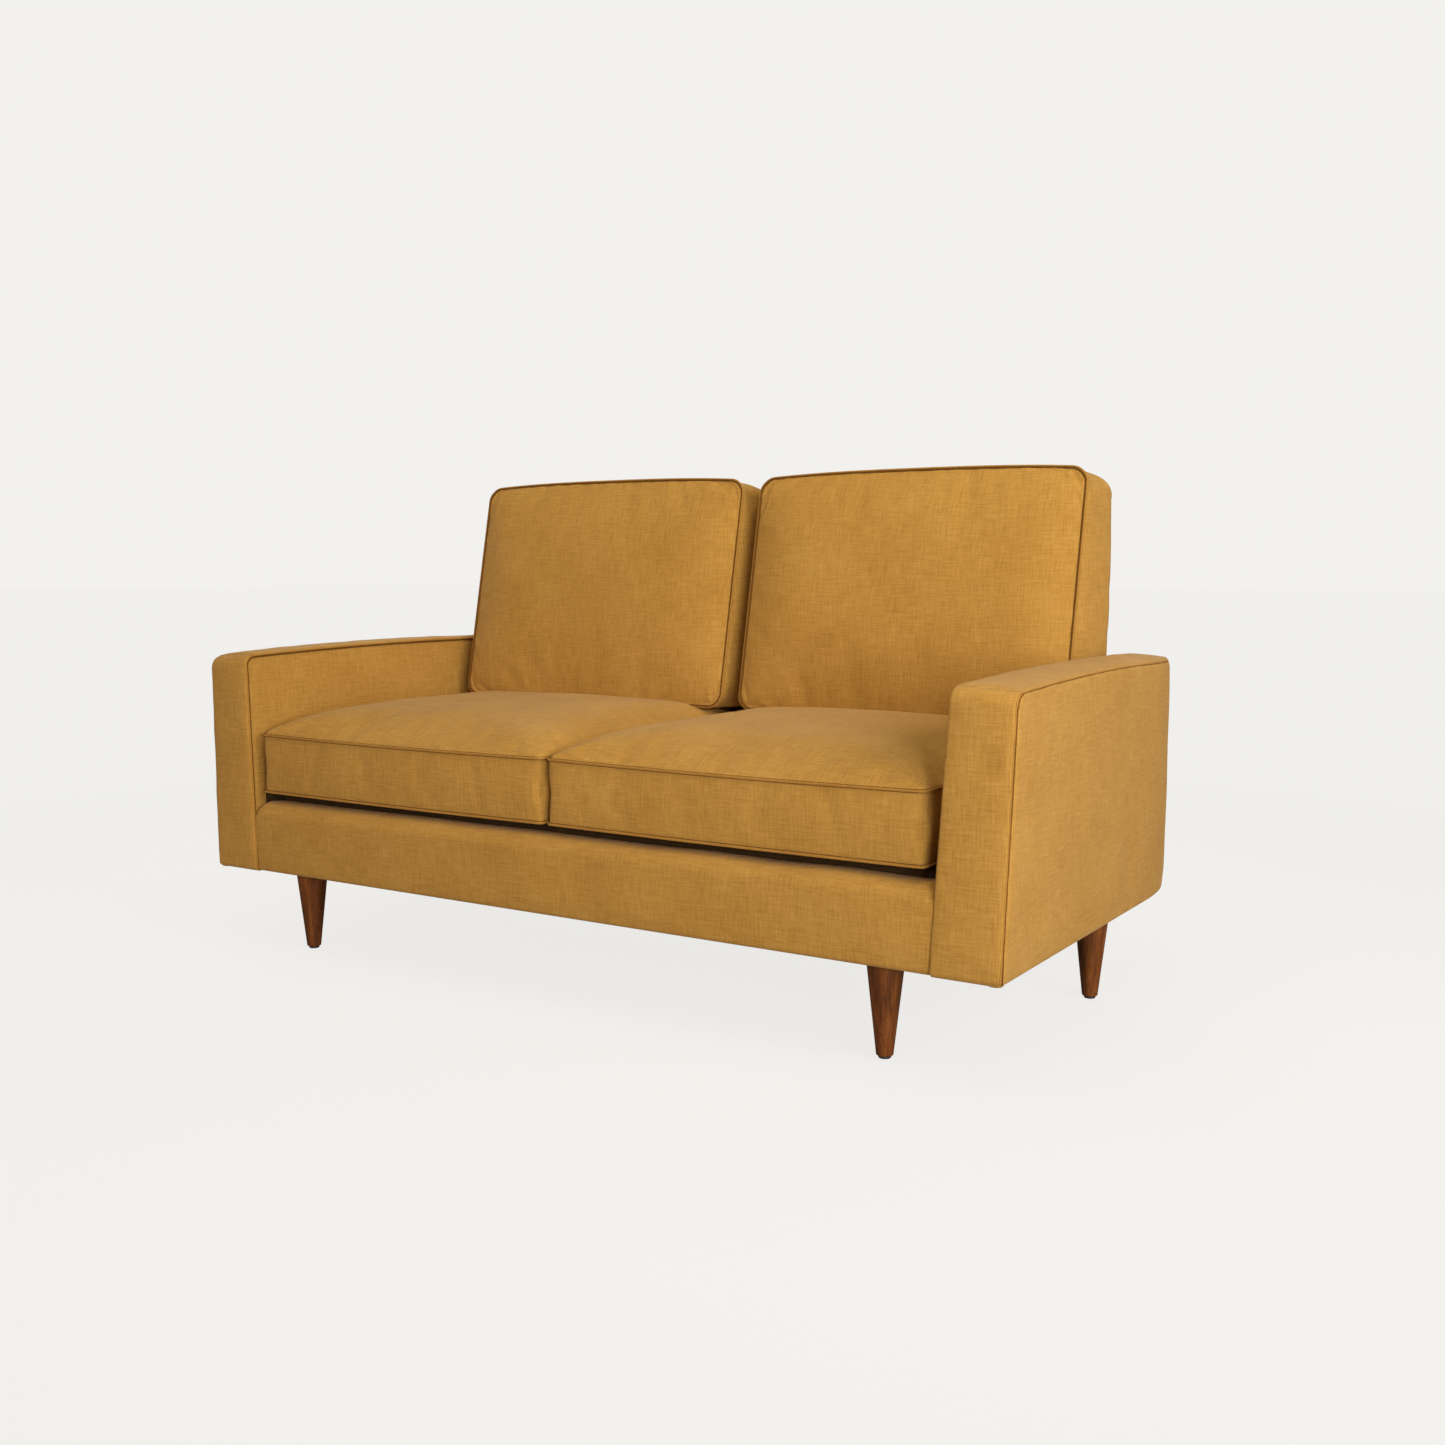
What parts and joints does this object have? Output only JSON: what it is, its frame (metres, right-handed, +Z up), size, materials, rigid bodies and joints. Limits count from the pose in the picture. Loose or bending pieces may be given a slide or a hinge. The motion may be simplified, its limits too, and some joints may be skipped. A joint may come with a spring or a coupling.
{
  "type": "two-seat sofa",
  "caption": "Upholstered two-seat sofa with straight arms, loose box seat cushions, loose wedge back cushions and tapered turned wooden legs.",
  "frame": {"origin": "on the floor, under the middle of the sofa's overall box", "axes": "+Z up, -Y to the front (the way a sitter faces), +X to the right seen from the front"},
  "size_m": [1.626, 0.8098, 0.8906],
  "materials": {
    "upholstery_fabric": "woven, mustard",
    "foam_core": "open-cell foam",
    "deck_lining": "plain woven lining",
    "dust_lining": "thin non-woven",
    "webbing": "woven jute strap",
    "leg_wood": "satin, dark stain",
    "frame_wood": "sawn hardwood",
    "spring_steel": "oiled wire",
    "zinc_steel": "zinc plated",
    "glide_plastic": "moulded"
  },
  "bodies": {
    "sofa": {"arm_front_panel_left": "upholstery_fabric", "arm_front_panel_right": "upholstery_fabric", "arm_outer_panel_left": "upholstery_fabric", "arm_outer_panel_right": "upholstery_fabric", "arm_inner_panel_left": "upholstery_fabric", "arm_inner_panel_right": "upholstery_fabric", "arm_top_panel_left": "upholstery_fabric", "arm_top_panel_right": "upholstery_fabric", "front_rail_cover": "upholstery_fabric", "back_front_pad": "upholstery_fabric", "back_rear_panel": "upholstery_fabric", "back_top_boxing": "upholstery_fabric", "back_side_boxing_left": "upholstery_fabric", "back_side_boxing_right": "upholstery_fabric", "deck_cloth": "deck_lining", "deck_pad": "deck_lining", "dust_cover": "dust_lining", "back_webbing": "webbing", "leg_front_left": "leg_wood", "leg_front_right": "leg_wood", "leg_rear_left": "leg_wood", "leg_rear_right": "leg_wood", "base_front_board": "frame_wood", "base_rear_board": "frame_wood", "base_left_board": "frame_wood", "base_right_board": "frame_wood", "base_centre_board": "frame_wood", "spring_rail_front": "frame_wood", "spring_rail_rear": "frame_wood", "corner_blocks": "frame_wood", "arm_front_post_left": "frame_wood", "arm_front_post_right": "frame_wood", "arm_rear_post_left": "frame_wood", "arm_rear_post_right": "frame_wood", "arm_top_rail_left": "frame_wood", "arm_top_rail_right": "frame_wood", "back_post_left": "frame_wood", "back_post_centre": "frame_wood", "back_post_right": "frame_wood", "back_top_rail": "frame_wood", "back_lower_rails": "frame_wood", "seat_springs_left": "spring_steel", "seat_springs_right": "spring_steel", "spring_clips": "spring_steel", "leg_plate_front_left": "zinc_steel", "leg_plate_front_right": "zinc_steel", "leg_plate_rear_left": "zinc_steel", "leg_plate_rear_right": "zinc_steel", "leg_bolts": "zinc_steel", "plate_screws": "zinc_steel", "leg_glides": "glide_plastic"},
    "seat_left": {"seat_cushion_cover_left": "upholstery_fabric", "seat_cushion_foam_left": "foam_core"},
    "seat_right": {"seat_cushion_cover_right": "upholstery_fabric", "seat_cushion_foam_right": "foam_core"},
    "back_left": {"back_cushion_cover_left": "upholstery_fabric", "back_cushion_foam_left": "foam_core"},
    "back_right": {"back_cushion_cover_right": "upholstery_fabric", "back_cushion_foam_right": "foam_core"}
  },
  "joints": [
    {"name": "seat_left_slide", "type": "slide", "parent": "sofa", "child": "seat_left", "axis": [0, -1, 0], "range_m": [0, 0.4]},
    {"name": "back_left_lift", "type": "slide", "parent": "sofa", "child": "back_left", "axis": [0, 0.0995, 0.995], "range_m": [0, 0.3]},
    {"name": "seat_right_slide", "type": "slide", "parent": "sofa", "child": "seat_right", "axis": [0, -1, 0], "range_m": [0, 0.4]},
    {"name": "back_right_lift", "type": "slide", "parent": "sofa", "child": "back_right", "axis": [0, 0.0995, 0.995], "range_m": [0, 0.3]}
  ]
}
